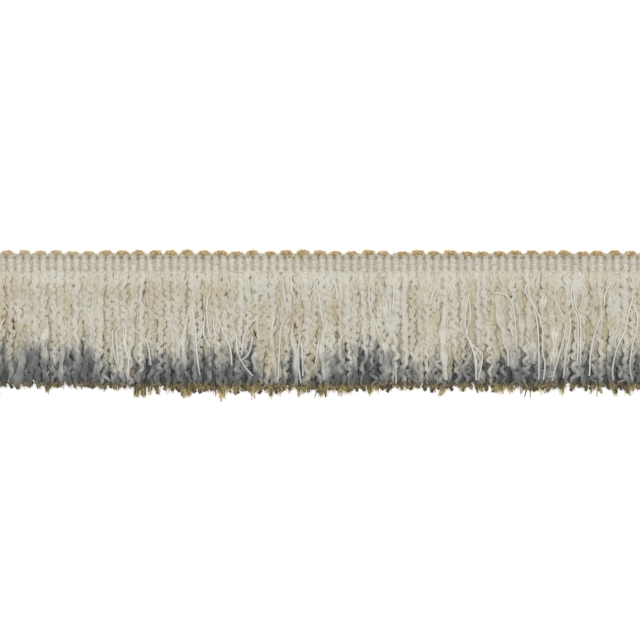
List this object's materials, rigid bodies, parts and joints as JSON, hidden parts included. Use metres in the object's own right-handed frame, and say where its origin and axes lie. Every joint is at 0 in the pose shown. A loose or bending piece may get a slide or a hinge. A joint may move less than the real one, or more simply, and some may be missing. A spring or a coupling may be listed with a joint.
{
  "type": "fringe trim",
  "caption": "Flat cut length of boucle brush fringe: a ribbed woven heading with a looped top edge, and layered cut strands hanging from its lower edge.",
  "frame": {"origin": "under the middle of the trim's box, on the surface that it lies on", "axes": "+X along the trim, +Y from the cut tips towards the looped edge, +Z out of its face"},
  "size_m": [0.258, 0.0544, 0.0066],
  "materials": {
    "heading": "woven cream and oatmeal yarn, matte",
    "edge_loops": "plied golden tan yarn, soft sheen",
    "boucle_yarn": "cream boucle yarn shading to blue-grey near its cut tips, matte",
    "smooth_thread": "smooth cream thread, slight sheen"
  },
  "bodies": {
    "root": {"heading": "heading", "loop_edge": "edge_loops", "skirt_back": "boucle_yarn", "skirt_middle": "boucle_yarn", "skirt_front": "boucle_yarn", "loose_threads": "smooth_thread"}
  },
  "joints": []
}
